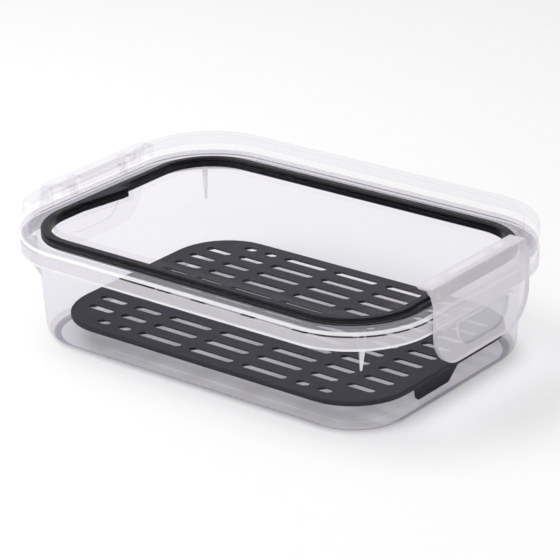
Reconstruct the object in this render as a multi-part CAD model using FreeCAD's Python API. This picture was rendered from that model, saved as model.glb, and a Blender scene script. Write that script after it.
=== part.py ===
"""Clear food container: tub with a rolled rim, lid with a stacking collar and black seal,
two snap latches on hinge bars, and a slotted drain tray that stands on the tub's floor.

Frame: +X runs along the container, +Z up, origin at the centre of the underside.
All sizes are in millimetres. Sections are drawn as (inset, height) pairs, where the inset is
measured inwards from the rim's outer outline, and are run round that outline.
"""
import FreeCAD, Part
import math
import os

V = FreeCAD.Vector

# Overall outline, shared by the tub's rim and the lid's collar
RIM_LENGTH = 240.0
RIM_WIDTH = 165.0
RIM_CORNER_R = 43.5

# Tub
TUB_HEIGHT = 56.0
TUB_WALL = 1.8
TUB_DRAFT = 2.6            # how much further in the wall stands at the floor than at the rim
RIM_OVERHANG = 8.3         # from the wall's outer face out to the rim's edge
RIM_THICKNESS = 1.8
SKIRT_DEPTH = 9.0
SKIRT_THICKNESS = 1.5
RIM_EDGE_R = 1.4
FLOOR_THICKNESS = 1.8
FLOOR_LIFT = 0.6           # the floor's underside clears the table inside the foot band
FOOT_BAND = 6.0
BOTTOM_R = 7.0
GUSSET_THICKNESS = 3.6
GUSSET_DEPTH = 22.0        # from the rim's underside down to the gusset's point
GUSSET_POINT = 1.0         # width that the gusset narrows to
GUSSET_ANGLE = 48.0        # where it stands in the corner's turn, in degrees from the +X or -X side

# Lid
LEDGE_THICKNESS = 1.8
LEDGE_SETBACK = 0.6        # the ledge stops this far inside the rim's edge
LID_WALL = 1.6
PANEL_DROP = 3.2           # the panel lies this far below the top of the seal channel
PLUG_DEPTH = 4.4           # the plug reaches this far below the rim's top
SEAL_LIP = 2.0             # ledge under the seal's inner half
COLLAR_RISE = 12.7         # from the rim's top to the collar's top
COLLAR_WALL = 1.6
COLLAR_OVERHANG = 5.8      # from the collar's wall out to its lip
COLLAR_LIP_DEPTH = 7.5
COLLAR_LIP_THICKNESS = 1.5
COLLAR_EDGE_R = 2.2
COLLAR_FRONT_ANGLE = 27.0  # degrees of the left front corner's turn that the collar still follows
COLLAR_END_R = 7.0         # curve in which the collar's end runs down to the ledge
COLLAR_SILL = 1.4          # height of the collar that is left behind a latch, over the ledge

# Seal
SEAL_GAP = 0.4             # between the seal and the tub's wall
SEAL_WIDTH = 5.0
SEAL_HEIGHT = 4.8
SEAL_SLACK = 0.2           # between the seal and the plug
SEAL_OVER_LEDGE = 0.4      # how far the seal's top stands above the ledge
SEAL_BEVEL = 0.9
SEAL_TAB_REACH = 4.6
SEAL_TAB_LENGTH = 30.0
SEAL_TAB_END = 4.0         # where the pull tab's step stands, along the short side
SEAL_TAB_FLAT = 4.0        # the tab keeps its full reach over this length before the step

# Latches and their hinge bars
LATCH_WIDTH = 76.0
LATCH_SIDE_GAP = 0.6
LATCH_THICKNESS = 2.4
LATCH_CLEARANCE = 0.8      # between the tub's skirt and the latch's plate
LATCH_DROP = 19.0          # how far the plate reaches below the rim's skirt
LATCH_CORNER_R = 18.0
LATCH_TOP_R = 1.4
SHOULDER_INSET = 2.2       # how much further in the plate's outer face stands at the top
SHOULDER_DROP = 8.8        # height over which the plate leans in to that
FLANGE_REACH = 4.8         # from the bar's centre in to the top flange's nose
FLANGE_THICKNESS = 1.5
FLANGE_NOSE = 0.6
BAR_R = 2.0
BAR_INSET = 3.8            # bar's centre, in from the rim's outline
BAR_HEIGHT = 9.4           # bar's centre, over the tub's rim
BORE_CLEARANCE = 0.3
KNUCKLE_WALL = 1.5
KNUCKLE_LENGTH = 62.0
KNUCKLE_R_OUTER = 2.4      # rounding of the knuckle's two inner corners
KNUCKLE_SKIN = 0.9         # plastic left over each post's window
CLIP_OPENING = 3.4
POST_THICKNESS = 3.0
POST_DEPTH = 3.2
POST_SPACING = 38.0
POST_GAP = 0.6
BAR_WEB = 1.6
BEAD_REACH = 0.8           # how far the bead reaches under the skirt
BEAD_SLACK = 1.0           # between the skirt's lower edge and the bead
BEAD_HEIGHT = 3.2
BEAD_WIDTH = 56.0
GRIP_WIDTH = 42.0
GRIP_HEIGHT = 13.5
GRIP_MARGIN = 5.5          # from the plate's lower edge up to the grip
GRIP_DEPTH = 1.2
GRIP_TOP_R = 1.0
GRIP_CORNER_R = 11.0

# Drain tray
TRAY_GAP = 3.2             # between the tray's edge and the tub's wall, on all sides but the left
TRAY_PLAY = 9.0            # the tray is this much shorter than would fit, and lies against the right end
TRAY_HEIGHT = 11.8         # tray's top over the tub's floor
TRAY_THICKNESS = 2.3
TRAY_CORNER_R = 31.0
TRAY_BEVEL = 0.6
SLOT_WIDTH = 4.2
SLOT_END_R = 1.5
SLOT_LENGTH = 26.5
SLOT_BRIDGE = 6.0
SLOT_ROW_PITCH = 11.6
SLOT_MARGIN = 9.0          # slots end on an outline this far inside the tray's edge
LEG_TOP_WIDTH = 36.0
LEG_FOOT_WIDTH = 23.0
LEG_THICKNESS = 2.3
LEG_LEAN = 16.0            # degrees, foot towards the middle
LEG_OFFSET = 9.5           # each end's leg stands this far off the centre line
LEG_CORNER_R = 4.0
LEG_SETBACK = 0.8          # from the tray's edge
LEG_SPARE = 2.0            # leaning legs are drawn this much too long and cut off at the floor

CORNER_CHORDS = 9          # straight chords in each large corner of the tray and the latches
CUT_MARGIN = 1.0           # cutting shapes reach this far past what they cut

# Sizes worked out from those above
HALF_L = RIM_LENGTH / 2
HALF_W = RIM_WIDTH / 2
SKIRT_BOTTOM = TUB_HEIGHT - SKIRT_DEPTH
WALL_TOP = RIM_OVERHANG
WALL_FOOT = RIM_OVERHANG + TUB_DRAFT
TUB_INSIDE = WALL_TOP + TUB_WALL
FLOOR_TOP = FLOOR_LIFT + FLOOR_THICKNESS
FOOT_IN = WALL_FOOT + BOTTOM_R + FOOT_BAND
SEAL_OUT = TUB_INSIDE + SEAL_GAP
SEAL_IN = SEAL_OUT + SEAL_WIDTH
SEAL_TOP = TUB_HEIGHT + LEDGE_THICKNESS + SEAL_OVER_LEDGE
SEAL_BOTTOM = SEAL_TOP - SEAL_HEIGHT
PLUG_OUT = SEAL_IN + SEAL_SLACK
PLUG_IN = PLUG_OUT + LID_WALL
LEDGE_TOP = TUB_HEIGHT + LEDGE_THICKNESS
CHANNEL_OUT = SEAL_OUT - SEAL_SLACK
CHANNEL_TOP = SEAL_TOP + LID_WALL
PANEL_TOP = CHANNEL_TOP - PANEL_DROP
COLLAR_TOP = TUB_HEIGHT + COLLAR_RISE
COLLAR_OUT = COLLAR_OVERHANG
COLLAR_IN = COLLAR_OVERHANG + COLLAR_WALL
COLLAR_LIP = COLLAR_TOP - COLLAR_LIP_DEPTH
SILL_TOP = LEDGE_TOP + COLLAR_SILL
BAR_X = HALF_L - BAR_INSET
BAR_Z = TUB_HEIGHT + BAR_HEIGHT
BORE_R = BAR_R + BORE_CLEARANCE
KNUCKLE_R = BORE_R + KNUCKLE_WALL
PLATE_IN = HALF_L + LATCH_CLEARANCE
PLATE_OUT = PLATE_IN + LATCH_THICKNESS
LATCH_TOP = BAR_Z + KNUCKLE_R
LATCH_FOOT = SKIRT_BOTTOM - LATCH_DROP
LATCH_TOP_OUT = PLATE_OUT - SHOULDER_INSET
NOTCH_HALF = LATCH_WIDTH / 2 + LATCH_SIDE_GAP


def rounded_wire(points, place):
    """Closed wire through (u, v, radius) corners, each rounded to its own radius.

    A fourth number in a corner makes its rounding from that many straight chords instead of an arc.
    place turns (u, v) into a point in space.
    """
    count = len(points)
    flat = [V(p[0], p[1], 0) for p in points]
    arrivals, departures, edges = [], [], []
    for i in range(count):
        before = flat[i - 1] - flat[i]
        after = flat[(i + 1) % count] - flat[i]
        before.normalize()
        after.normalize()
        radius = points[i][2]
        chords = points[i][3] if len(points[i]) > 3 else 0
        half_angle = before.getAngle(after) / 2
        reach = radius / math.tan(half_angle)
        start, end = flat[i] + before * reach, flat[i] + after * reach
        arrivals.append(start)
        departures.append(end)
        if radius == 0:
            continue
        bisector = before + after
        bisector.normalize()
        centre = flat[i] + bisector * (radius / math.sin(half_angle))
        if not chords:
            middle = centre - bisector * radius
            edges.append(Part.Arc(*[place(p.x, p.y) for p in (start, middle, end)]).toShape())
            continue
        turn = (start - centre).getAngle(end - centre)
        across = (start - centre).cross(end - centre)
        stops = [start]
        for step in range(1, chords + 1):
            spoke = FreeCAD.Rotation(across, math.degrees(turn) * step / chords).multVec(start - centre)
            stops.append(centre + spoke)
        for one, two in zip(stops[:-1], stops[1:]):
            edges.append(Part.LineSegment(place(one.x, one.y), place(two.x, two.y)).toShape())
    for i in range(count):
        one, two = departures[i], arrivals[(i + 1) % count]
        if one.distanceToPoint(two) > 1e-6:
            edges.append(Part.LineSegment(place(one.x, one.y), place(two.x, two.y)).toShape())
    return Part.Wire(Part.sortEdges(edges)[0])


def run_round(points):
    """Solid made by running a section of (inset, height, radius) corners round the rim's outline."""
    turn = RIM_CORNER_R
    straight_x = HALF_L - turn
    straight_y = HALF_W - turn
    pieces = []
    for side in range(4):
        along_x = side % 2 == 1
        edge = HALF_W if along_x else HALF_L
        reach = straight_x if along_x else straight_y
        wire = rounded_wire(points, lambda inset, height: V(edge - inset, -reach, height))
        face = Part.Face(wire)
        straight = face.extrude(V(0, 2 * reach, 0))
        corner_face = face.translated(V(0, 2 * reach, 0))
        corner = corner_face.revolve(V(edge - turn, reach, 0), V(0, 0, 1), 90)
        for piece in (straight, corner):
            piece.rotate(V(0, 0, 0), V(0, 0, 1), 90 * side)
            pieces.append(piece)
    return pieces[0].fuse(pieces[1:]).removeSplitter()


def outline_wire(inset, height, corner_r=None):
    """Rounded rectangle this far inside the rim's outline."""
    half_x, half_y = HALF_L - inset, HALF_W - inset
    radius = RIM_CORNER_R - inset if corner_r is None else corner_r
    corners = [(half_x, half_y, radius), (-half_x, half_y, radius),
               (-half_x, -half_y, radius), (half_x, -half_y, radius)]
    return rounded_wire(corners, lambda x, y: V(x, y, height))


def slab(inset, low, high, corner_r=None):
    """Flat plate with the outline this far inside the rim's, from low to high."""
    return Part.Face(outline_wire(inset, low, corner_r)).extrude(V(0, 0, high - low))


def ring(outer, inner, low, high):
    return slab(outer, low, high).cut(slab(inner, low, high))


def box(x0, x1, y0, y1, z0, z1):
    return Part.makeBox(x1 - x0, y1 - y0, z1 - z0, V(x0, y0, z0))


def mirrored_end(shape):
    """The same shape turned half round, for the container's other end."""
    turned = shape.copy()
    turned.rotate(V(0, 0, 0), V(0, 0, 1), 180)
    return turned


def gusset():
    """Web under the rim in one corner: seen from the side it runs from the skirt to the wall,
    and seen from the front it narrows to a point."""
    under_rim = TUB_HEIGHT - RIM_THICKNESS / 2
    wall_slope = TUB_DRAFT / TUB_HEIGHT
    tip = under_rim - GUSSET_DEPTH
    inside = WALL_TOP + TUB_WALL / 2
    side = [(SKIRT_THICKNESS / 2, under_rim), (SKIRT_THICKNESS / 2, SKIRT_BOTTOM + CUT_MARGIN),
            (WALL_TOP + wall_slope * GUSSET_DEPTH, tip),
            (inside + wall_slope * GUSSET_DEPTH, tip), (inside, under_rim)]
    points = [V(RIM_CORNER_R - inset, -GUSSET_THICKNESS, height) for inset, height in side]
    web = Part.Face(Part.makePolygon(points + points[:1])).extrude(V(0, 2 * GUSSET_THICKNESS, 0))
    half, narrow = GUSSET_THICKNESS / 2, GUSSET_POINT / 2
    front = [V(0, -half, under_rim), V(0, half, under_rim), V(0, narrow, tip), V(0, -narrow, tip)]
    wedge = Part.Face(Part.makePolygon(front + front[:1])).extrude(V(RIM_CORNER_R, 0, 0))
    web = web.common(wedge)
    web.rotate(V(0, 0, 0), V(0, 0, 1), GUSSET_ANGLE)
    web.translate(V(HALF_L - RIM_CORNER_R, HALF_W - RIM_CORNER_R, 0))
    return web


def make_tub():
    section = [
        (FOOT_IN, 0, 0),
        (WALL_FOOT, 0, BOTTOM_R, 4),
        (WALL_TOP, TUB_HEIGHT - RIM_THICKNESS, 0),
        (SKIRT_THICKNESS, TUB_HEIGHT - RIM_THICKNESS, 0),
        (SKIRT_THICKNESS, SKIRT_BOTTOM, 0),
        (0, SKIRT_BOTTOM, 0),
        (0, TUB_HEIGHT, RIM_EDGE_R, 2),
        (TUB_INSIDE, TUB_HEIGHT, 0),
        (WALL_FOOT + TUB_WALL, FLOOR_TOP, BOTTOM_R - TUB_WALL, 2),
        (FOOT_IN, FLOOR_TOP, 0),
    ]
    floor = slab(FOOT_IN, FLOOR_LIFT, FLOOR_TOP)
    webs = []
    for mirror_x, mirror_y in ((False, False), (True, False), (True, True), (False, True)):
        web = gusset()
        if mirror_x:
            web = web.mirror(V(0, 0, 0), V(1, 0, 0))
        if mirror_y:
            web = web.mirror(V(0, 0, 0), V(0, 1, 0))
        webs.append(web)
    return run_round(section).fuse([floor] + webs).removeSplitter()


def collar():
    """Raised stacking collar: a wall with an outward lip, open along the front and at the right front."""
    section = [
        (COLLAR_IN, LEDGE_TOP - LEDGE_THICKNESS / 2, 0),
        (COLLAR_OUT, LEDGE_TOP - LEDGE_THICKNESS / 2, 0),
        (COLLAR_OUT, COLLAR_TOP - COLLAR_WALL, 0),
        (COLLAR_LIP_THICKNESS, COLLAR_TOP - COLLAR_WALL, 0),
        (COLLAR_LIP_THICKNESS, COLLAR_LIP, 0),
        (0, COLLAR_LIP, 0),
        (0, COLLAR_TOP, COLLAR_EDGE_R, 2),
        (COLLAR_IN, COLLAR_TOP, 0),
    ]
    right_front = box(0, HALF_L + CUT_MARGIN, -HALF_W, -NOTCH_HALF, LEDGE_TOP, COLLAR_TOP + CUT_MARGIN)
    return run_round(section).cut([front_opening(), right_front] + latch_notches())


def front_opening():
    """Space cut out of the collar along the front, drawn from the side and run from end to end.

    The collar turns down to the ledge in a curve, part way round the left front corner.
    """
    end = -(HALF_W - RIM_CORNER_R) - RIM_CORNER_R * math.sin(math.radians(COLLAR_FRONT_ANGLE))
    front = -HALF_W - CUT_MARGIN
    back = end + 2 * COLLAR_END_R
    over = COLLAR_TOP + CUT_MARGIN
    side = [(front, LEDGE_TOP, 0), (end, LEDGE_TOP, COLLAR_END_R), (end, COLLAR_TOP, COLLAR_END_R / 2),
            (back, COLLAR_TOP, 0), (back, over, 0), (front, over, 0)]
    wire = rounded_wire(side, lambda y, z: V(-HALF_L - CUT_MARGIN, y, z))
    return Part.Face(wire).extrude(V(RIM_LENGTH + 2 * CUT_MARGIN, 0, 0))


def latch_notches():
    notch = box(HALF_L - COLLAR_IN - CUT_MARGIN, HALF_L + CUT_MARGIN, -NOTCH_HALF, NOTCH_HALF,
                SILL_TOP, COLLAR_TOP + CUT_MARGIN)
    return [notch, mirrored_end(notch)]


def hinge_bar(webs):
    """Round bar across a latch notch at the +X end, on two posts.

    webs are the sides, 1 or -1 along Y, on which a web closes the bar into the collar's end.
    On a side with no web the bar ends just past the latch's knuckle.
    """
    web_out = NOTCH_HALF + BAR_WEB
    free_end = KNUCKLE_LENGTH / 2 + BAR_WEB
    low = -web_out if -1 in webs else -free_end
    high = web_out if 1 in webs else free_end
    pieces = [Part.makeCylinder(BAR_R, high - low, V(BAR_X, low, BAR_Z), V(0, 1, 0))]
    for side in webs:
        edge = side * (NOTCH_HALF + BAR_WEB / 2)
        pieces.append(box(HALF_L - COLLAR_OUT - COLLAR_WALL / 2, HALF_L - COLLAR_LIP_THICKNESS / 2,
                          edge - BAR_WEB / 2, edge + BAR_WEB / 2, COLLAR_LIP, COLLAR_TOP - COLLAR_WALL / 2))
    for side in (1, -1):
        middle = side * POST_SPACING / 2
        pieces.append(box(BAR_X - POST_DEPTH / 2, BAR_X + POST_DEPTH / 2, middle - POST_THICKNESS / 2,
                          middle + POST_THICKNESS / 2, LEDGE_TOP - LEDGE_THICKNESS / 2, BAR_Z))
    return pieces


def seal_tab(clearance):
    """Plan outline of the pull tab, grown by a clearance."""
    inner = HALF_L - SEAL_IN
    low = SEAL_TAB_END - SEAL_TAB_LENGTH
    points = [V(-inner - SEAL_WIDTH / 2, low - clearance, 0), V(-inner + clearance, low - clearance, 0),
              V(-inner + SEAL_TAB_REACH + clearance, SEAL_TAB_END - SEAL_TAB_FLAT, 0),
              V(-inner + SEAL_TAB_REACH + clearance, SEAL_TAB_END + clearance, 0),
              V(-inner - SEAL_WIDTH / 2, SEAL_TAB_END + clearance, 0)]
    return Part.Face(Part.makePolygon(points + points[:1]))


def prism(face, low, high):
    return face.translated(V(0, 0, low)).extrude(V(0, 0, high - low))


def make_lid():
    plug_bottom = TUB_HEIGHT - PLUG_DEPTH
    body = slab(LEDGE_SETBACK, TUB_HEIGHT, LEDGE_TOP)
    roof = slab(CHANNEL_OUT - LID_WALL, TUB_HEIGHT, CHANNEL_TOP)
    body = body.fuse([roof, slab(PLUG_OUT, plug_bottom, CHANNEL_TOP)])
    pocket = prism(seal_tab(SEAL_SLACK + LID_WALL), plug_bottom, CHANNEL_TOP)
    body = body.fuse(pocket.common(slab(SEAL_OUT, plug_bottom, CHANNEL_TOP)))
    wall_round_tab = prism(seal_tab(SEAL_SLACK + LID_WALL), 0, COLLAR_TOP)
    below = plug_bottom - CUT_MARGIN
    well = slab(PLUG_IN, PANEL_TOP, CHANNEL_TOP + CUT_MARGIN).cut(wall_round_tab)
    underside = slab(PLUG_IN, below, PANEL_TOP - LID_WALL).cut(wall_round_tab)
    channel = ring(CHANNEL_OUT, PLUG_OUT, below, SEAL_TOP)
    tab_room = prism(seal_tab(SEAL_SLACK), below, SEAL_TOP)
    body = body.cut([well, underside, channel, tab_room])
    lip = ring(PLUG_OUT - SEAL_LIP, PLUG_IN, plug_bottom, SEAL_BOTTOM - SEAL_SLACK)
    lip = lip.cut(tab_room)
    right_bar = hinge_bar([1])
    left_bar = [mirrored_end(piece) for piece in hinge_bar([1, -1])]
    return body.fuse([lip, collar()] + right_bar + left_bar).removeSplitter()


def make_seal():
    """Rubber ring with bevelled upper edges and a pull tab at one short end."""
    section = [
        (SEAL_OUT, SEAL_BOTTOM, 0),
        (SEAL_OUT, SEAL_TOP - SEAL_BEVEL, 0),
        (SEAL_OUT + SEAL_BEVEL, SEAL_TOP, 0),
        (SEAL_IN - SEAL_BEVEL, SEAL_TOP, 0),
        (SEAL_IN, SEAL_TOP - SEAL_BEVEL, 0),
        (SEAL_IN, SEAL_BOTTOM, 0),
    ]
    tab = prism(seal_tab(0), SEAL_BOTTOM, SEAL_TOP)
    return run_round(section).fuse(tab).removeSplitter()


def latch_plate():
    """Flat part of the latch, with large lower corners and a shallow grip set into its outer face."""
    half = LATCH_WIDTH / 2
    shoulder = LATCH_TOP - SHOULDER_DROP
    outline = [(-half, shoulder, 0), (-half, LATCH_FOOT, LATCH_CORNER_R, CORNER_CHORDS),
               (half, LATCH_FOOT, LATCH_CORNER_R, CORNER_CHORDS), (half, shoulder, 0)]
    wire = rounded_wire(outline, lambda across, height: V(PLATE_IN, across, height))
    plate = Part.Face(wire).extrude(V(LATCH_THICKNESS, 0, 0))
    low = LATCH_FOOT + GRIP_MARGIN
    high = low + GRIP_HEIGHT
    grip_half = GRIP_WIDTH / 2
    grip = [(-grip_half, high, GRIP_TOP_R, 1), (-grip_half, low, GRIP_CORNER_R, 4),
            (grip_half, low, GRIP_CORNER_R, 4), (grip_half, high, GRIP_TOP_R, 1)]
    wire = rounded_wire(grip, lambda across, height: V(PLATE_OUT - GRIP_DEPTH, across, height))
    return plate.cut(Part.Face(wire).extrude(V(GRIP_DEPTH + CUT_MARGIN, 0, 0)))


def latch_shoulder():
    """Top of the latch over its full width: the plate leans in and turns over into a thin flange."""
    nose = BAR_X - FLANGE_REACH
    under = LATCH_TOP - FLANGE_THICKNESS
    low = LATCH_TOP - SHOULDER_DROP
    section = [(nose, LATCH_TOP - FLANGE_NOSE, 0), (nose + FLANGE_NOSE, LATCH_TOP, 0),
               (LATCH_TOP_OUT, LATCH_TOP, LATCH_TOP_R, 2), (PLATE_OUT, low, 0), (PLATE_IN, low, 0),
               (LATCH_TOP_OUT - LATCH_THICKNESS, under, 0), (nose + FLANGE_THICKNESS, under, 0)]
    wire = rounded_wire(section, lambda x, z: V(x, -LATCH_WIDTH / 2, z))
    return Part.Face(wire).extrude(V(0, LATCH_WIDTH, 0))


def make_latch():
    """Latch at the +X end: plate, flange, knuckle round the hinge bar, and the bead under the rim."""
    half = KNUCKLE_LENGTH / 2
    low = BAR_Z - KNUCKLE_R
    block = [(BAR_X - KNUCKLE_R, low, KNUCKLE_R_OUTER, 3), (PLATE_IN, low, 0),
             (LATCH_TOP_OUT - LATCH_THICKNESS / 2, LATCH_TOP - FLANGE_THICKNESS / 2, 0),
             (BAR_X - KNUCKLE_R, LATCH_TOP - FLANGE_THICKNESS / 2, 0)]
    wire = rounded_wire(block, lambda x, z: V(x, -half, z))
    knuckle = Part.Face(wire).extrude(V(0, KNUCKLE_LENGTH, 0))
    bead_top = SKIRT_BOTTOM - BEAD_SLACK
    bead_in = HALF_L - BEAD_REACH
    inside_plate = PLATE_IN + LATCH_THICKNESS / 2
    corners = [(inside_plate, bead_top), (bead_in, bead_top), (inside_plate, bead_top - BEAD_HEIGHT)]
    points = [V(x, -BEAD_WIDTH / 2, z) for x, z in corners]
    bead = Part.Face(Part.makePolygon(points + points[:1])).extrude(V(0, BEAD_WIDTH, 0))
    latch = latch_plate().fuse([latch_shoulder(), knuckle, bead])
    long_cut = LATCH_WIDTH + 2 * CUT_MARGIN
    cuts = [Part.makeCylinder(BORE_R, long_cut, V(BAR_X, -long_cut / 2, BAR_Z), V(0, 1, 0)),
            box(BAR_X - CLIP_OPENING / 2, BAR_X + CLIP_OPENING / 2, -long_cut / 2, long_cut / 2,
                low - CUT_MARGIN, BAR_Z)]
    window = POST_THICKNESS / 2 + POST_GAP
    for side in (1, -1):
        middle = side * POST_SPACING / 2
        cuts.append(box(BAR_X - FLANGE_REACH - CUT_MARGIN, LATCH_TOP_OUT - LATCH_THICKNESS, middle - window,
                        middle + window, low - CUT_MARGIN, LATCH_TOP - KNUCKLE_SKIN))
    return latch.cut(cuts).removeSplitter()


def row_slots(y, half_x, half_y, corner_r):
    """(centre, length) of each slot in one row: three long ones and two short ones at each end."""
    past_corner = max(0.0, abs(y) - (half_y - corner_r))
    inner_r = corner_r - SLOT_MARGIN
    if past_corner >= inner_r:
        return []
    row_end = half_x - corner_r + math.sqrt(inner_r ** 2 - past_corner ** 2)
    pitch = SLOT_LENGTH + SLOT_BRIDGE
    slots = [(0.0, SLOT_LENGTH), (pitch, SLOT_LENGTH), (-pitch, SLOT_LENGTH)]
    start = pitch + SLOT_LENGTH / 2 + SLOT_BRIDGE
    short = (row_end - start - SLOT_BRIDGE) / 2
    if short > SLOT_WIDTH:
        for centre in (start + short / 2, row_end - short / 2):
            slots += [(centre, short), (-centre, short)]
    return slots


def slot_cutter(x, y, length, low, height):
    """Slot along X, with its ends rounded in chords."""
    half, side = length / 2, SLOT_WIDTH / 2
    corners = [(x + half, y + side, SLOT_END_R, 1), (x - half, y + side, SLOT_END_R, 1),
               (x - half, y - side, SLOT_END_R, 1), (x + half, y - side, SLOT_END_R, 1)]
    wire = rounded_wire(corners, lambda along, across: V(along, across, low))
    return Part.Face(wire).extrude(V(0, 0, height))


def tray_leg(half_x, top, floor):
    """Rounded trapezoid tab at the +X end of the tray, leaning in so that it clears the floor's curve."""
    outer = half_x - LEG_SETBACK
    low = floor - LEG_SPARE
    outline = [(-LEG_TOP_WIDTH / 2, top, 0), (-LEG_FOOT_WIDTH / 2, low, LEG_CORNER_R),
               (LEG_FOOT_WIDTH / 2, low, LEG_CORNER_R), (LEG_TOP_WIDTH / 2, top, 0)]
    wire = rounded_wire(outline, lambda across, height: V(outer - LEG_THICKNESS, across, height))
    leg = Part.Face(wire).extrude(V(LEG_THICKNESS, 0, 0))
    leg.rotate(V(outer, 0, top), V(0, 1, 0), LEG_LEAN)
    leg.translate(V(0, -LEG_OFFSET, 0))
    keep = box(0, HALF_L, -HALF_W, HALF_W, floor, top + TRAY_THICKNESS / 2)
    return leg.common(keep)


def make_tray():
    top = FLOOR_TOP + TRAY_HEIGHT
    under = top - TRAY_THICKNESS
    wall_at_tray = TUB_INSIDE + TUB_DRAFT * (TUB_HEIGHT - top) / TUB_HEIGHT
    half_x = HALF_L - wall_at_tray - TRAY_GAP - TRAY_PLAY / 2
    half_y = HALF_W - wall_at_tray - TRAY_GAP
    turns = [(half_x, half_y), (-half_x, half_y), (-half_x, -half_y), (half_x, -half_y)]
    corners = [(x, y, TRAY_CORNER_R, CORNER_CHORDS) for x, y in turns]
    outline = rounded_wire(corners, lambda x, y: V(x, y, under))
    plate = Part.Face(outline).extrude(V(0, 0, TRAY_THICKNESS))
    top_edges = [e for e in plate.Edges if e.BoundBox.ZMin > top - TRAY_BEVEL / 2]
    plate = plate.makeChamfer(TRAY_BEVEL, top_edges)
    rows = int((half_y - SLOT_MARGIN) / SLOT_ROW_PITCH)
    cuts = []
    for row in range(-rows, rows + 1):
        y = row * SLOT_ROW_PITCH
        for centre, length in row_slots(y, half_x, half_y, TRAY_CORNER_R):
            cuts.append(slot_cutter(centre, y, length, under - CUT_MARGIN, TRAY_THICKNESS + 2 * CUT_MARGIN))
    leg = tray_leg(half_x, under + TRAY_THICKNESS / 2, FLOOR_TOP)
    tray = plate.cut(cuts).fuse([leg, mirrored_end(leg)]).removeSplitter()
    return tray.translated(V(TRAY_PLAY / 2, 0, 0))


def save(shape, node):
    solids = shape.Solids
    volume = round(shape.Volume / 1000, 2)
    print(node, "solids", len(solids), "valid", shape.isValid(), "volume", volume, "cm3")
    part = solids[0] if len(solids) == 1 else Part.makeCompound(solids)
    part.exportStep("parts/" + node + ".step")


def main():
    os.makedirs("parts", exist_ok=True)
    save(make_tub(), "tub")
    save(make_tray(), "drain_tray")
    save(make_lid(), "lid")
    save(make_seal(), "lid_seal")
    latch = make_latch()
    save(latch, "latch_right")
    save(mirrored_end(latch), "latch_left")


main()
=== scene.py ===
"""Looks for the clear food container with a black seal, milky latches and a slotted tray.

Each piece is a copy of its CAD node. Its sharp edges are rounded, its faces take their looks by where
they lie, and the inner skin of each clear wall goes, so that light crosses one skin in each wall.
"""
import bpy
import bmesh
import math
from mathutils import Matrix, Vector


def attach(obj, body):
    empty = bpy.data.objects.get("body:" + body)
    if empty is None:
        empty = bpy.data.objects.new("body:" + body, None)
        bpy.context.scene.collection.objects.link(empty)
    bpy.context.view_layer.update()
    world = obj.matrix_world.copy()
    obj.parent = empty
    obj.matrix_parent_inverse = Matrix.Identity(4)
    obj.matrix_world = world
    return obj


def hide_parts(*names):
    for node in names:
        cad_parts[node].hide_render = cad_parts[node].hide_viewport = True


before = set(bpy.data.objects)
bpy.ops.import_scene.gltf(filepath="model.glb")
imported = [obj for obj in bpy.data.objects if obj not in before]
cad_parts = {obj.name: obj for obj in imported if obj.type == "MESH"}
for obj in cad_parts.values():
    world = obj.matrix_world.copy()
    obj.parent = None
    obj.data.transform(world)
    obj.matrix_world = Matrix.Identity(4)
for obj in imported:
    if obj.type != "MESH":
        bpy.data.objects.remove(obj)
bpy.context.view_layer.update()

MM = 0.001


def node_box(node):
    """The low and the high corner of a CAD node."""
    spots = [vert.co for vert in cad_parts[node].data.vertices]
    low = Vector([min(spot[axis] for spot in spots) for axis in range(3)])
    high = Vector([max(spot[axis] for spot in spots) for axis in range(3)])
    return low, high


# Camera: the photograph's viewing angle, for an image of 560 by 560
IMAGE_SIDE = 560
FOCAL_PIXELS = 2650
SENSOR = 36.0
VIEW_END = 20
CAMERA_TURN = 38.85
CAMERA_RISE = 22.75
CAMERA_ROLL = -1.6
CAMERA_REACH = 1.310
AIM_HEIGHT = 35.0 * MM
AIM_RIGHT = 1.2 * MM
AIM_UP = -2.8 * MM

# The rim's outline, which the tub and the lid follow at one inset or another
RIM_CORNER_R = 43.5 * MM
RIM_END, RIM_SIDE, RIM_TOP = node_box("tub")[1]
RIM_CORNER_X = RIM_END - RIM_CORNER_R
RIM_CORNER_Y = RIM_SIDE - RIM_CORNER_R

# Tub
FOOT_LINE = 1.0 * MM                    # the foot's rounding gets a painted shade line below this
FOOT_TOP = 3.2 * MM                     # and a painted highlight band up to here
FOOT_REACH = 16.5 * MM                  # on the faces within this inset
FLOOR_ROUNDING = 10.0 * MM              # the floor's top and its rounding lie below this
GUSSET_FOOT = 30.0 * MM                 # the gussets lie above this
GUSSET_REACH = 8.0 * MM                 # and within this inset
SKIRT_REACH = 2.2 * MM                  # the skirt lies within this inset
SKIRT_FOOT = RIM_TOP - 9.5 * MM         # and above this
SKIRT_LINE = RIM_TOP - 7.8 * MM         # its lower edge gets a painted highlight line up to here
SKIRT_GAP = RIM_TOP - 2.3 * MM          # and its top as clear from here to the rim's edge
RIM_EDGE = RIM_TOP - 1.3 * MM           # the rim's rounded edge lies above this and gets a painted highlight
RIM_UNDERSIDE = RIM_TOP - 2.0 * MM      # the rim's flat underside lies above this

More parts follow.
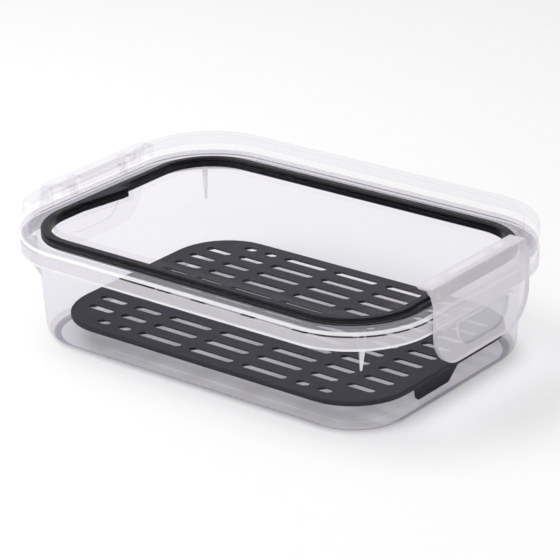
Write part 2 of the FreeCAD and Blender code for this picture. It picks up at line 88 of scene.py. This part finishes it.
# Lid
LEDGE_EDGE = 1.2 * MM                   # the lid's outer edge lies within this inset
LEDGE_REACH = 9.0 * MM                  # and its ledge within this one
LEDGE_LOW = RIM_TOP + 1.0 * MM          # and between these heights
LEDGE_TOP = RIM_TOP + 2.2 * MM
COLLAR_FOOT = RIM_TOP + 3.0 * MM        # the collar lies above this
POCKET_OUT = 9.5 * MM                   # the seal's pocket lies between these insets
POCKET_IN = 16.5 * MM
LIP_OUT = 1.0 * MM                      # the inner skin of the collar's lip lies between these
LIP_IN = 2.0 * MM
COLLAR_OUT = 5.2 * MM                   # and the outer skin of the collar's wall between these
COLLAR_IN = 6.4 * MM
HAZE_LINE = 4.2 * MM                    # the ledge is hazy nearer to the outline than this
HAZE_SOFTNESS = 0.3 * MM
FAR_ABOVE = 1.0                         # higher than any piece, so that a point's height doesn't count

# Latches
SHOULDER = RIM_TOP + 1.0 * MM           # the plate stands straight below this
KNUCKLE_LOW = RIM_TOP + 2.0 * MM        # the knuckle reads as clear between these heights
KNUCKLE_HIGH = RIM_TOP + 11.2 * MM
KNUCKLE_FACE = RIM_END + 0.2 * MM       # and where it lies nearer to the middle than this
GRIP_FACE = RIM_END + 2.4 * MM          # the grip's floor lies nearer to the middle than this; it takes painted shade
GRIP_LOW = 30.0 * MM                    # and between these heights
GRIP_HIGH = 47.0 * MM

# Tray
TRAY_CORNER_R = 31.0 * MM
TRAY_THICKNESS = 2.3 * MM
SLOT_FLARE = 3.0 * MM                   # a slot's walls stand back by this underneath, half of it along x
SLOT_MARGIN = 5.0 * MM                  # the slots lie further than this from the tray's edge
LEVEL_SLACK = 0.05 * MM                 # a corner this near to the underside's height lies on it

# How a CAD node's mesh is made ready
WELD = 0.001 * MM                       # corners nearer to each other than this become one
FLAT_ANGLE = math.radians(1)            # faces that meet at less than this become one
SHARP_ANGLE = math.radians(40)          # edges sharper than this are rounded
EDGE_STEPS = 2
SQUARE = 0.5                            # a face looks a certain way if this much of its normal does
ASLANT = 0.3                            # the same for the tub's drafted and rounded inner faces

# Looks
WHITE = (1.0, 1.0, 1.0)
PALE = (0.86, 0.85, 0.88)
PLASTIC_IOR = 1.5
GLANCE_POWER = 10.0                     # how late the haze of a clear surface grows at its outline
ROUGHNESS_SPREAD = 0.3                  # share by which a clear surface's roughness differs
WAVES = 45                              # scale of the slow waves in clear plastic
WAVE_DEPTH = 0.2 * MM
WAVE_STRENGTH = 0.6
GRAIN_DETAIL = 3.0

# Floor and light
FLOOR_SIDE = 6
FLOOR_DROP = 0.1 * MM
FLOOR_COLOUR = (0.92, 0.92, 0.925)
SHADOW_LIFT = 0.26
SKY_SHOWN = 1.0
SKY_LIT = 0.75
LAMP_AIM = Vector((0, 0, 30.0 * MM))


def place_camera():
    turn, rise, roll = (math.radians(angle) for angle in (CAMERA_TURN, CAMERA_RISE, CAMERA_ROLL))
    back = Vector((math.sin(turn) * math.cos(rise), -math.cos(turn) * math.cos(rise), math.sin(rise)))
    right = Vector((math.cos(turn), math.sin(turn), 0))
    up = back.cross(right)
    rolled_right = right * math.cos(roll) + up * math.sin(roll)
    rolled_up = up * math.cos(roll) - right * math.sin(roll)
    spot = Vector((0, 0, AIM_HEIGHT)) + right * AIM_RIGHT + up * AIM_UP + back * CAMERA_REACH
    data = bpy.data.cameras.new("camera")
    data.sensor_width = SENSOR
    data.lens = SENSOR * FOCAL_PIXELS / IMAGE_SIDE
    data.clip_end = VIEW_END
    camera = bpy.data.objects.new("camera", data)
    axes = Matrix((rolled_right, rolled_up, back)).transposed()
    camera.matrix_world = Matrix.Translation(spot) @ axes.to_4x4()
    bpy.context.scene.collection.objects.link(camera)
    bpy.context.scene.camera = camera


# Parts of materials

def new_material(name):
    material = bpy.data.materials.new(name)
    material.use_nodes = True
    nodes = material.node_tree.nodes
    nodes.clear()
    output = nodes.new("ShaderNodeOutputMaterial")
    return material, nodes, material.node_tree.links, output


def fed(links, entry, value):
    """Give a node's input another node's output, or a plain value."""
    if isinstance(value, bpy.types.NodeSocket):
        links.new(value, entry)
    else:
        entry.default_value = value


def math_result(nodes, links, operation, *values):
    """A Math node's result, held between 0 and 1."""
    step = nodes.new("ShaderNodeMath")
    step.operation = operation
    step.use_clamp = True
    for entry, value in zip(step.inputs, values):
        fed(links, entry, value)
    return step.outputs[0]


def vector_math(nodes, links, operation, *values):
    """A Vector Math node, fed with the values."""
    step = nodes.new("ShaderNodeVectorMath")
    step.operation = operation
    for entry, value in zip(step.inputs, values):
        fed(links, entry, value)
    return step


def spread(nodes, links, source, low, high, start=0.0, end=1.0):
    """A value that runs from start to end brought to the range from low to high."""
    ramp = nodes.new("ShaderNodeMapRange")
    ramp.inputs["From Min"].default_value = start
    ramp.inputs["From Max"].default_value = end
    ramp.inputs["To Min"].default_value = low
    ramp.inputs["To Max"].default_value = high
    links.new(source, ramp.inputs["Value"])
    return ramp.outputs["Result"]


def mixed(nodes, links, share, first, second):
    """Two shaders mixed, with the share of the second."""
    mix = nodes.new("ShaderNodeMixShader")
    links.new(share, mix.inputs["Fac"])
    links.new(first.outputs[0], mix.inputs[1])
    links.new(second.outputs[0], mix.inputs[2])
    return mix.outputs[0]


def grain(nodes, links, scale):
    """Noise on Object coordinates."""
    spot = nodes.new("ShaderNodeTexCoord")
    noise = nodes.new("ShaderNodeTexNoise")
    noise.inputs["Scale"].default_value = scale
    noise.inputs["Detail"].default_value = GRAIN_DETAIL
    links.new(spot.outputs["Object"], noise.inputs["Vector"])
    return noise.outputs["Fac"]


def bumped(nodes, links, source, depth, strength=1.0):
    bump = nodes.new("ShaderNodeBump")
    bump.inputs["Distance"].default_value = depth
    bump.inputs["Strength"].default_value = strength
    links.new(source, bump.inputs["Height"])
    return bump.outputs["Normal"]


def by_inset(nodes, links, inner, outer):
    """The inner value, or the outer one nearer to the rim's outline than HAZE_LINE."""
    corner = (RIM_CORNER_X, RIM_CORNER_Y, FAR_ABOVE)
    spot = nodes.new("ShaderNodeTexCoord").outputs["Object"]
    quarter = vector_math(nodes, links, "ABSOLUTE", spot).outputs["Vector"]
    beyond = vector_math(nodes, links, "SUBTRACT", quarter, corner).outputs["Vector"]
    level = vector_math(nodes, links, "MAXIMUM", beyond, (0, 0, 0)).outputs["Vector"]
    reach = vector_math(nodes, links, "LENGTH", level).outputs["Value"]
    line = RIM_CORNER_R - HAZE_LINE
    return spread(nodes, links, reach, inner, outer, line - HAZE_SOFTNESS, line + HAZE_SOFTNESS)


# Materials

def thin_plastic(name, tint, haze, body=PALE, glance=0.3, roughness=0.1, outer_haze=None):
    """See-through plastic: tinted clear, with a film of pale haze that grows at a glancing angle.

    tint is what one surface leaves of the light behind it, and body is the haze's own colour.
    outer_haze takes the haze's place nearer than HAZE_LINE to the rim's outline.
    """
    material, nodes, links, output = new_material(name)
    clear = nodes.new("ShaderNodeBsdfTransparent")
    clear.inputs["Color"].default_value = (*tint, 1)
    film = nodes.new("ShaderNodeBsdfPrincipled")
    film.inputs["Base Color"].default_value = (*body, 1)
    film.inputs["IOR"].default_value = PLASTIC_IOR
    waves = grain(nodes, links, WAVES)
    smoothest, roughest = roughness * (1 - ROUGHNESS_SPREAD), roughness * (1 + ROUGHNESS_SPREAD)
    links.new(spread(nodes, links, waves, smoothest, roughest), film.inputs["Roughness"])
    links.new(bumped(nodes, links, waves, WAVE_DEPTH, WAVE_STRENGTH), film.inputs["Normal"])
    slant = nodes.new("ShaderNodeLayerWeight").outputs["Facing"]
    steep = math_result(nodes, links, "POWER", slant, GLANCE_POWER)
    least = by_inset(nodes, links, haze, outer_haze) if outer_haze else haze
    share = math_result(nodes, links, "MULTIPLY_ADD", steep, glance, least)
    links.new(mixed(nodes, links, share, clear, film), output.inputs["Surface"])
    return material


def solid_plastic(name, colour, ior, scale, depth, smoothest, roughest):
    """Dense plastic or rubber with a fine grain of the given scale and depth."""
    material, nodes, links, output = new_material(name)
    skin = nodes.new("ShaderNodeBsdfPrincipled")
    skin.inputs["Base Color"].default_value = (*colour, 1)
    skin.inputs["IOR"].default_value = ior
    fine = grain(nodes, links, scale)
    links.new(spread(nodes, links, fine, smoothest, roughest), skin.inputs["Roughness"])
    links.new(bumped(nodes, links, fine, depth), skin.inputs["Normal"])
    links.new(skin.outputs[0], output.inputs["Surface"])
    return material


def black_rubber():
    return solid_plastic("seal_rubber_look", (0.003, 0.003, 0.0045), ior=1.22,
                         scale=900, depth=0.05 * MM, smoothest=0.32, roughest=0.46)


def tray_plastic():
    return solid_plastic("tray_look", (0.022, 0.022, 0.031), ior=1.33,
                         scale=1500, depth=0.06 * MM, smoothest=0.42, roughest=0.6)


def painted_highlight_edge():
    """A painted highlight: a white film on rounded edges that stands in for the light they catch; the tub
    and the right latch share it.
    """
    return thin_plastic("painted_highlight_edge_look", (0.96, 0.96, 0.97), haze=0.8, body=WHITE,
                        glance=0.2, roughness=0.12)


def paper(name, colour, lift):
    """White paper whose shadows look lighter to the camera, also through clear plastic."""
    material, nodes, links, output = new_material(name)
    matt = nodes.new("ShaderNodeBsdfDiffuse")
    matt.inputs["Color"].default_value = (*colour, 1)
    glow = nodes.new("ShaderNodeEmission")
    rays = nodes.new("ShaderNodeLightPath")
    share = math_result(nodes, links, "MULTIPLY", rays.outputs["Is Camera Ray"], lift)
    links.new(mixed(nodes, links, share, matt, glow), output.inputs["Surface"])
    return material


# Where a face lies

def outwards(point):
    """The way out of the rim's outline at a point, and how far inside the outline it lies."""
    core = Vector((max(min(point.x, RIM_CORNER_X), -RIM_CORNER_X),
                   max(min(point.y, RIM_CORNER_Y), -RIM_CORNER_Y), point.z))
    reach = point - core
    return reach.normalized(), RIM_CORNER_R - reach.length


def place(face):
    """A face's middle inset and height, and how squarely it faces out of the outline."""
    spots = [outwards(vert.co) for vert in face.verts]
    insets = [spot[1] for spot in spots]
    heights = [vert.co.z for vert in face.verts]
    facing = sum(spot[0].dot(face.normal) for spot in spots) / len(spots)
    return (min(insets) + max(insets)) / 2, (min(heights) + max(heights)) / 2, facing


def one_part(face):
    """The only part of a piece that has one look."""
    return "body"


def no_inner(face):
    """No face is an inner skin."""
    return False


def tub_part(face):
    inset, height, facing = place(face)
    if height > SKIRT_FOOT and inset < SKIRT_REACH:
        if SKIRT_GAP < height < RIM_EDGE:
            return "wall"
        # the skirt's lower band and the rim's rounded edge take the painted highlight
        return "edge" if height < SKIRT_LINE or height > RIM_EDGE else "skirt"
    # the gussets take a painted highlight
    if GUSSET_FOOT < height < RIM_UNDERSIDE and inset < GUSSET_REACH:
        return "gusset"
    # the foot's rounding: painted shade below FOOT_LINE, painted highlight above it
    if inset < FOOT_REACH and height < FOOT_TOP:
        return "foot line" if height < FOOT_LINE else "foot"
    return "wall"


def tub_inner(face):
    """The wall's inner skin, the floor's top and the rim's underside."""
    inset, height, facing = place(face)
    wall = facing < -ASLANT and height < RIM_TOP
    floor_top = face.normal.z > ASLANT and height < FLOOR_ROUNDING
    under_rim = height > RIM_UNDERSIDE and face.normal.z < -SQUARE
    return wall or floor_top or under_rim


def lid_part(face):
    inset, height, facing = place(face)
    if height > COLLAR_FOOT:
        return "collar"
    if height < LEDGE_TOP and inset < LEDGE_EDGE:
        return "ledge edge"
    if LEDGE_LOW < height < LEDGE_TOP and inset < LEDGE_REACH:
        return "ledge"
    return "panel"


def lid_inner(face):
    """All that faces down inside the outer edge, and the seal's pocket and the collar's hollow."""
    inset, height, facing = place(face)
    if face.normal.z < -SQUARE and inset > LIP_OUT:
        return True
    if abs(face.normal.z) > SQUARE:
        return False
    in_pocket = POCKET_OUT < inset < POCKET_IN and height < LEDGE_TOP
    lip_inside = facing < -SQUARE and LIP_OUT < inset < LIP_IN
    collar_outside = facing > SQUARE and COLLAR_OUT < inset < COLLAR_IN
    return in_pocket or lip_inside or collar_outside


def latch_part(face):
    centre = face.calc_center_median()
    by_bar = KNUCKLE_LOW < centre.z < KNUCKLE_HIGH and abs(centre.x) < KNUCKLE_FACE
    if by_bar and abs(face.normal.y) < SQUARE:
        return "knuckle"
    if GRIP_LOW < centre.z < GRIP_HIGH and abs(centre.x) < GRIP_FACE:
        return "grip"
    return "body"


def latch_inner(face):
    """The back of the plate."""
    centre = face.calc_center_median()
    faces_back = face.normal.x * centre.x < 0 and abs(face.normal.x) > SQUARE
    return faces_back and centre.z < SHOULDER


# Shaping

def cut_bands(work):
    """Cut the tub's faces at the heights where its look changes."""
    for height in (FOOT_LINE, FOOT_TOP, SKIRT_LINE, SKIRT_GAP):
        everything = work.verts[:] + work.edges[:] + work.faces[:]
        bmesh.ops.bisect_plane(work, geom=everything, plane_co=(0, 0, height), plane_no=(0, 0, 1))


def flare_slots(work):
    """Slant the walls of the tray's slots, so that they widen towards the underside."""
    low, high = node_box("drain_tray")
    middle = (low + high) / 2
    corner = (high - low) / 2 - Vector((TRAY_CORNER_R, TRAY_CORNER_R, 0))
    moves = []
    for vert in work.verts:
        if abs(vert.co.z - (high.z - TRAY_THICKNESS)) > LEVEL_SLACK:
            continue
        along = max(abs(vert.co.x - middle.x) - corner.x, 0)
        across = max(abs(vert.co.y - middle.y) - corner.y, 0)
        walls = [face.normal for face in vert.link_faces if abs(face.normal.z) < SQUARE]
        if TRAY_CORNER_R - math.hypot(along, across) > SLOT_MARGIN and walls:
            void = sum(walls, Vector()).normalized()
            moves.append((vert, Vector((-void.x * SLOT_FLARE / 2, -void.y * SLOT_FLARE, 0))))
    for vert, move in moves:
        vert.co += move


def round_edges(work, edge_width, inner):
    """Round a shape's sharp edges, but not those between inner faces, and give the new faces."""
    unseen = set(face for face in work.faces if inner(face))
    paired = [edge for edge in work.edges if len(edge.link_faces) == 2]
    sharp = [edge for edge in paired if edge.calc_face_angle(0) > SHARP_ANGLE]
    sharp = [edge for edge in sharp if not unseen.issuperset(edge.link_faces)]
    rounded = bmesh.ops.bevel(work, geom=sharp, offset=edge_width, affect="EDGES", segments=EDGE_STEPS,
                              profile=0.5, material=-1, clamp_overlap=True)
    return set(rounded["faces"])


def shaped_mesh(node, name, looks, edge_width, part, inner, reshape):
    """A copy of a CAD node's mesh with rounded edges, no inner skin, and a look on each face."""
    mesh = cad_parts[node].data.copy()
    mesh.name = name
    mesh.materials.clear()
    work = bmesh.new()
    work.from_mesh(mesh)
    bmesh.ops.remove_doubles(work, verts=work.verts, dist=WELD)
    bmesh.ops.dissolve_limit(work, angle_limit=FLAT_ANGLE, verts=work.verts, edges=work.edges)
    if reshape:
        reshape(work)
    parts = list(looks)
    for face in work.faces:
        face.material_index = parts.index(part(face))
    strips = round_edges(work, edge_width, inner)
    for face in strips:
        face.material_index = parts.index("edge")
    for face in work.faces:
        face.smooth = True
    gone = [face for face in work.faces if face not in strips and inner(face)]
    bmesh.ops.delete(work, geom=gone, context="FACES")
    work.to_mesh(mesh)
    work.free()
    for look in looks.values():
        mesh.materials.append(look)
    return mesh


def dress(node, name, body, looks, edge_width, part=one_part, inner=no_inner, reshape=None):
    """Make the piece that takes a CAD node's place. looks holds each part's material by name."""
    piece = bpy.data.objects.new(name, shaped_mesh(node, name, looks, edge_width, part, inner, reshape))
    bpy.context.scene.collection.objects.link(piece)
    weight = piece.modifiers.new("flats stay flat", "WEIGHTED_NORMAL")
    weight.keep_sharp = True
    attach(piece, body)
    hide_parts(node)


# Pieces

def make_tub(highlight_look):
    looks = {
        "wall": thin_plastic("clear_tub_look", (0.915, 0.91, 0.93), haze=0.006, glance=0.5,
                             roughness=0.08),
        # the rounded edges, the skirt's lower band and the rim's rounding take the painted highlight
        "edge": highlight_look,
        "skirt": thin_plastic("skirt_look", (0.93, 0.92, 0.94), haze=0.7, body=(0.81, 0.785, 0.835)),
        # the gussets' white film is a painted highlight
        "gusset": thin_plastic("gusset_highlight_look", (0.98, 0.98, 0.99), haze=0.68, body=WHITE, glance=0.2),
        # a painted shade line and a painted highlight band on the foot's rounding
        "foot line": thin_plastic("foot_shade_line_look", (0.62, 0.61, 0.66), haze=0.1),
        "foot": thin_plastic("foot_highlight_look", (0.93, 0.92, 0.94), haze=0.3, body=(0.95, 0.95, 0.97)),
    }
    dress("tub", "tub_shell", "container", looks, edge_width=0.5 * MM,
          part=tub_part, inner=tub_inner, reshape=cut_bands)


def make_lid():
    looks = {
        "panel": thin_plastic("clear_lid_look", (0.975, 0.97, 0.98), haze=0.002, glance=0.5,
                              roughness=0.08),
        # the lid's rounded edges: a darker tint as painted shade, a faint pale film as painted highlight
        "edge": thin_plastic("lid_edge_shade_look", (0.66, 0.65, 0.69), haze=0.1, body=(0.97, 0.97, 0.98),
                             roughness=0.12),
        "ledge edge": thin_plastic("ledge_edge_look", (0.9, 0.89, 0.92), haze=0.25),
        "ledge": thin_plastic("ledge_look", (0.96, 0.955, 0.97), haze=0.012, outer_haze=0.2),
        "collar": thin_plastic("collar_look", (0.955, 0.952, 0.96), haze=0.02, glance=0.5,
                               roughness=0.08),
    }
    dress("lid", "lid_shell", "cover", looks, edge_width=0.35 * MM,
          part=lid_part, inner=lid_inner)


def make_right_latch(highlight_look):
    looks = {
        "body": thin_plastic("latch_look", (0.92, 0.91, 0.935), haze=0.66, body=(0.84, 0.81, 0.865),
                             glance=0.2, roughness=0.22),
        # the latch's rounded edges take the painted highlight
        "edge": highlight_look,
        # the grip's recessed floor is darker: painted shade in the recess
        "grip": thin_plastic("latch_grip_shade_look", (0.9, 0.89, 0.92), haze=0.8, body=(0.68, 0.67, 0.72),
                             glance=0.2, roughness=0.22),
        "knuckle": thin_plastic("knuckle_look", (0.93, 0.92, 0.945), haze=0.04, glance=0.2,
                                roughness=0.2),
    }
    dress("latch_right", "latch_right_shell", "right_latch", looks,
          edge_width=0.8 * MM, part=latch_part, inner=latch_inner)


def make_left_latch():
    """The left latch, which is nearly clear."""
    clear = thin_plastic("clear_latch_look", (0.955, 0.95, 0.965), haze=0.006, glance=0.2,
                         roughness=0.2)
    dress("latch_left", "latch_left_shell", "left_latch",
          {"body": clear, "edge": clear}, edge_width=0.3 * MM, inner=latch_inner)


def make_seal():
    rubber = black_rubber()
    dress("lid_seal", "seal_ring", "cover",
          {"body": rubber, "edge": rubber}, edge_width=0.3 * MM)


def make_tray():
    plastic = tray_plastic()
    dress("drain_tray", "tray", "container",
          {"body": plastic, "edge": plastic}, edge_width=0.25 * MM, reshape=flare_slots)


# Stage

def lay_floor():
    bpy.ops.mesh.primitive_plane_add(size=FLOOR_SIDE, location=(0, 0, -FLOOR_DROP))
    floor = bpy.context.object
    floor.name = "floor"
    floor.data.materials.append(paper("floor_paper", FLOOR_COLOUR, SHADOW_LIFT))


def set_sky():
    """A white sky that looks brighter than it lights."""
    world = bpy.data.worlds.new("studio")
    bpy.context.scene.world = world
    world.use_nodes = True
    nodes, links = world.node_tree.nodes, world.node_tree.links
    nodes.clear()
    output = nodes.new("ShaderNodeOutputWorld")
    shown = nodes.new("ShaderNodeBackground")
    shown.inputs["Strength"].default_value = SKY_SHOWN
    lit = nodes.new("ShaderNodeBackground")
    lit.inputs["Strength"].default_value = SKY_LIT
    rays = nodes.new("ShaderNodeLightPath")
    seen = rays.outputs["Is Camera Ray"]
    for kind in ("Is Glossy Ray", "Is Transmission Ray"):
        seen = math_result(nodes, links, "MAXIMUM", seen, rays.outputs[kind])
    links.new(mixed(nodes, links, seen, lit, shown), output.inputs["Surface"])


def add_lamp(name, spot, size, power):
    data = bpy.data.lights.new(name, "AREA")
    data.size = size
    data.energy = power
    lamp = bpy.data.objects.new(name, data)
    lamp.location = spot
    lamp.rotation_euler = (LAMP_AIM - Vector(spot)).to_track_quat("-Z", "Y").to_euler()
    bpy.context.scene.collection.objects.link(lamp)


place_camera()
# the white film on rounded edges is a painted highlight
shared_highlight = painted_highlight_edge()
make_tub(shared_highlight)
make_lid()
make_right_latch(shared_highlight)
make_left_latch()
make_seal()
make_tray()
lay_floor()
set_sky()
add_lamp("key", (-0.5, -0.2, 1.0), size=0.7, power=7)
add_lamp("fill", (0.9, -0.7, 0.8), size=0.9, power=3)
bpy.context.scene.view_settings.view_transform = "Standard"
